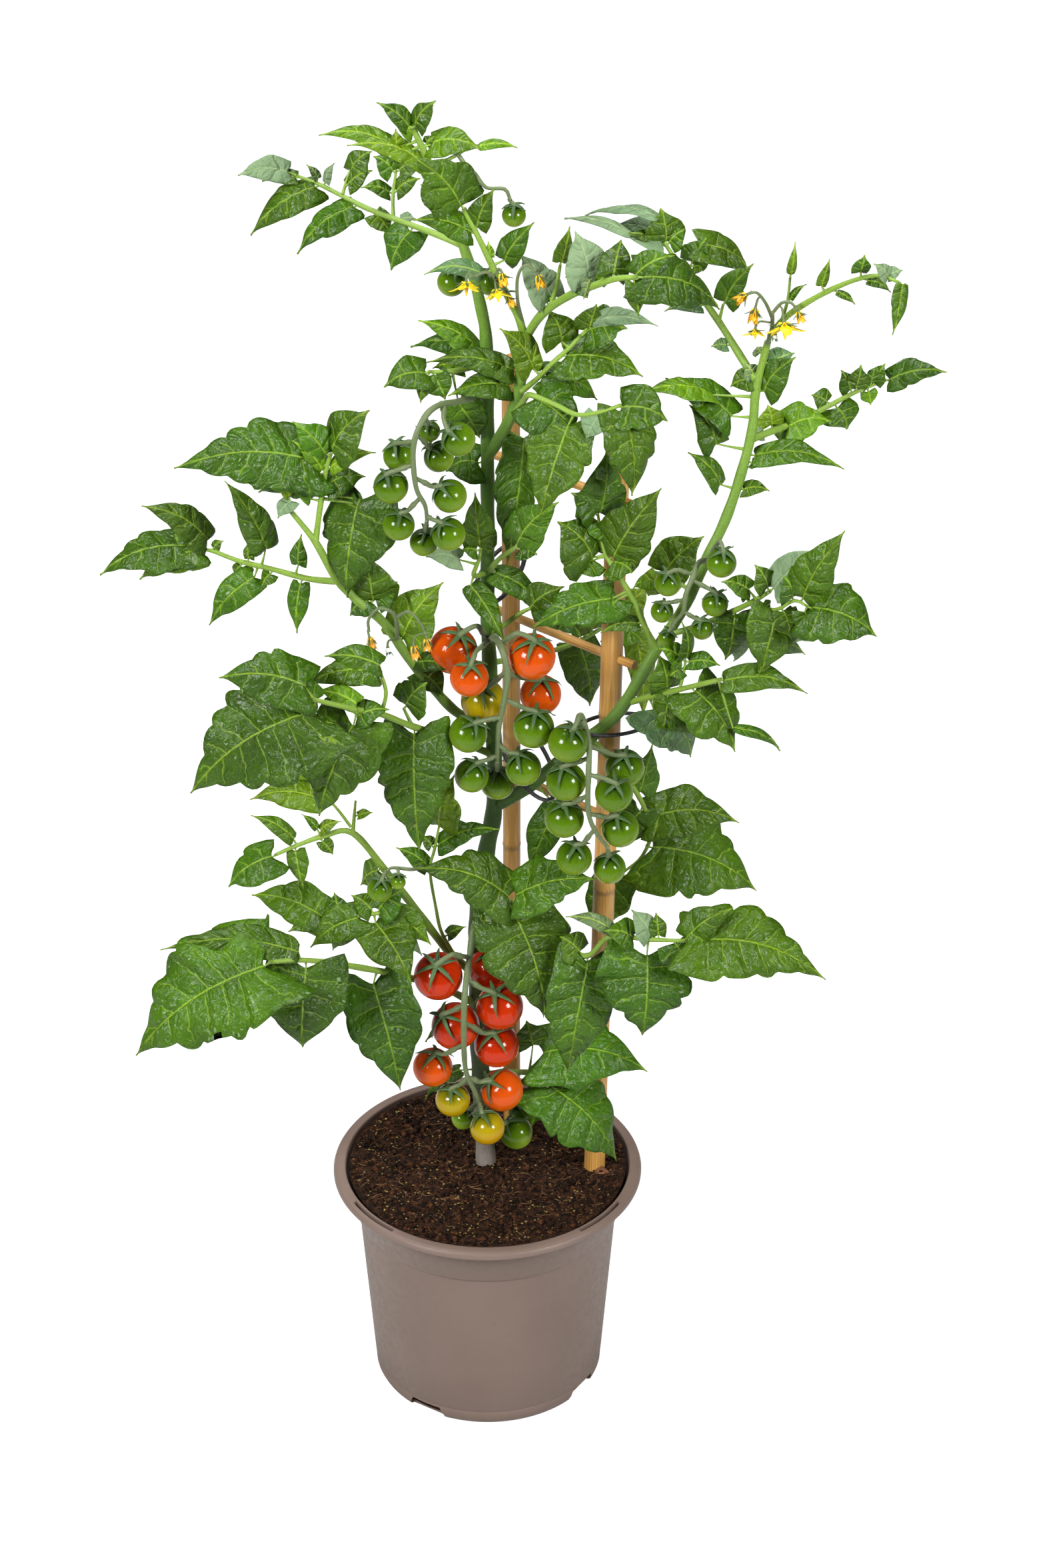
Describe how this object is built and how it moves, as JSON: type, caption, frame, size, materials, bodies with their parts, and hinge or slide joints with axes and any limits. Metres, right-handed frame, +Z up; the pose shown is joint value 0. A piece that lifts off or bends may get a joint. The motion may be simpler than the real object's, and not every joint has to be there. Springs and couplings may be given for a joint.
{
  "type": "tomato plant in a pot",
  "caption": "Cherry tomato plant with trusses of ripening fruit and yellow flowers, tied to a ladder of bamboo canes in a round nursery pot.",
  "frame": {"origin": "centre of the pot's flat underside, on the surface that it stands on", "axes": "+Z up along the pot's axis, the plant's front faces -Y, the side with the second cane is +X"},
  "size_m": [0.4825, 0.2145, 0.8338],
  "materials": {
    "pot": "satin",
    "soil": "matt, crumbly peat",
    "bamboo": "bare bamboo, satin",
    "tie": "matt coated wire",
    "stalk": "fine hairs, satin",
    "leaf": "fine hairs, satin",
    "fruit_olive": "glossy fruit skin",
    "fruit_orange": "glossy fruit skin",
    "fruit_red": "glossy fruit skin",
    "flower": "thin petals, satin"
  },
  "bodies": {
    "root": {"branch_left": "leaf", "cane_left": "bamboo", "cane_right": "bamboo", "flowers_centre": "flower", "flowers_high": "flower", "flowers_left": "flower", "flowers_right": "flower", "leaf_at_cane": "leaf", "leaf_bottom_centre": "leaf", "leaf_bottom_left": "leaf", "leaf_bottom_right": "leaf", "leaf_bottom_small": "leaf", "leaf_centre_right": "leaf", "leaf_far_left": "leaf", "leaf_front": "leaf", "leaf_left_low": "leaf", "leaf_left_mid": "leaf", "leaf_left_upper": "leaf", "leaf_right_arch": "leaf", "leaf_right_low": "leaf", "leaf_right_mid": "leaf", "leaf_right_outer": "leaf", "leaf_right_upper": "leaf", "pot": "pot", "rung_1": "bamboo", "rung_2": "bamboo", "rung_3": "bamboo", "shoot_centre": "leaf", "shoot_right_top": "leaf", "soil": "soil", "stem_main": "leaf", "stem_right": "leaf", "tie_high": "tie", "tie_middle": "tie", "tie_right": "tie", "tomato_a1": "fruit_red", "tomato_a11": "fruit_red", "tomato_a2": "fruit_red", "tomato_a3": "fruit_red", "tomato_a4": "fruit_red", "tomato_a5": "fruit_orange", "tomato_a6": "fruit_orange", "tomato_a7": "fruit_olive", "tomato_a8": "fruit_olive", "tomato_b1": "fruit_orange", "tomato_b2": "fruit_orange", "tomato_b3": "fruit_orange", "tomato_b4": "fruit_olive", "tomato_b5": "fruit_orange", "truss_a": "stalk", "truss_b": "stalk", "truss_c": "stalk", "truss_d": "stalk", "truss_e": "stalk", "truss_f": "stalk", "truss_g": "stalk", "truss_h": "stalk"}
  },
  "joints": []
}
